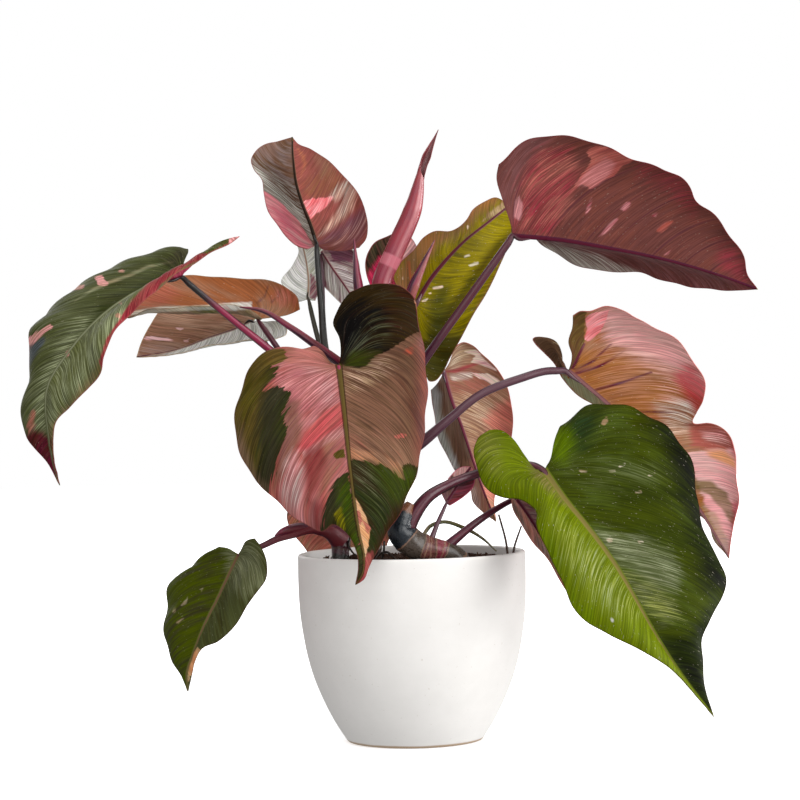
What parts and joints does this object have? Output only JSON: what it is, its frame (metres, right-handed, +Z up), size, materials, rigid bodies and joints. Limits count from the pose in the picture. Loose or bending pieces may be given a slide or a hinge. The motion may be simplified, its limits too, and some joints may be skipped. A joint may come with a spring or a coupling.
{
  "type": "potted philodendron",
  "caption": "Pink-variegated climbing philodendron with large heart-shaped leaves on long stalks, in a round white ceramic pot with a flat base.",
  "frame": {"origin": "centre of the pot's flat base, on the surface that it stands on", "axes": "+Z up along the pot's axis, +X to the viewer's right and +Y away from the viewer"},
  "size_m": [0.5697, 0.272, 0.4894],
  "materials": {
    "pot": "matte",
    "soil": "matte",
    "stem": "satin",
    "stalk": "satin",
    "sheath": "satin",
    "strap": "satin",
    "twig": "matte",
    "blade_front": "satin",
    "blade_left": "satin",
    "blade_rust": "satin",
    "blade_brown": "satin",
    "blade_upper": "satin",
    "blade_silver": "satin",
    "blade_plum": "satin",
    "blade_olive": "satin",
    "blade_maroon": "satin",
    "blade_rose": "satin",
    "blade_young": "satin",
    "blade_green": "satin",
    "blade_gold": "satin",
    "blade_low": "satin",
    "blade_back": "satin",
    "blade_crown": "satin",
    "blade_under": "satin"
  },
  "bodies": {
    "root": {"pot": "pot", "soil": "soil", "stem_main": "stem", "stem_left": "stem", "stem_elbow": "stem", "blade_front": "blade_front", "stalk_front": "stalk", "blade_left": "blade_left", "stalk_left": "stalk", "blade_rust": "blade_rust", "stalk_rust": "stalk", "blade_brown": "blade_brown", "stalk_brown": "stalk", "blade_upper": "blade_upper", "stalk_upper": "stalk", "blade_silver": "blade_silver", "stalk_silver": "stalk", "blade_plum": "blade_plum", "stalk_plum": "stalk", "blade_olive": "blade_olive", "stalk_olive": "stalk", "blade_maroon": "blade_maroon", "stalk_maroon": "stalk", "blade_rose": "blade_rose", "stalk_rose": "stalk", "blade_young": "blade_young", "stalk_young": "stalk", "blade_green": "blade_green", "stalk_green": "stalk", "blade_gold": "blade_gold", "stalk_gold": "stalk", "blade_low": "blade_low", "stalk_low": "stalk", "blade_back": "blade_back", "stalk_back": "stalk", "blade_crown": "blade_crown", "stalk_crown": "stalk", "blade_under": "blade_under", "stalk_under": "stalk", "roll": "sheath", "sheath_left": "sheath", "sheath_right": "sheath", "sheath_long": "sheath", "strap": "strap", "twig_left": "twig", "twig_right": "twig"}
  },
  "joints": []
}
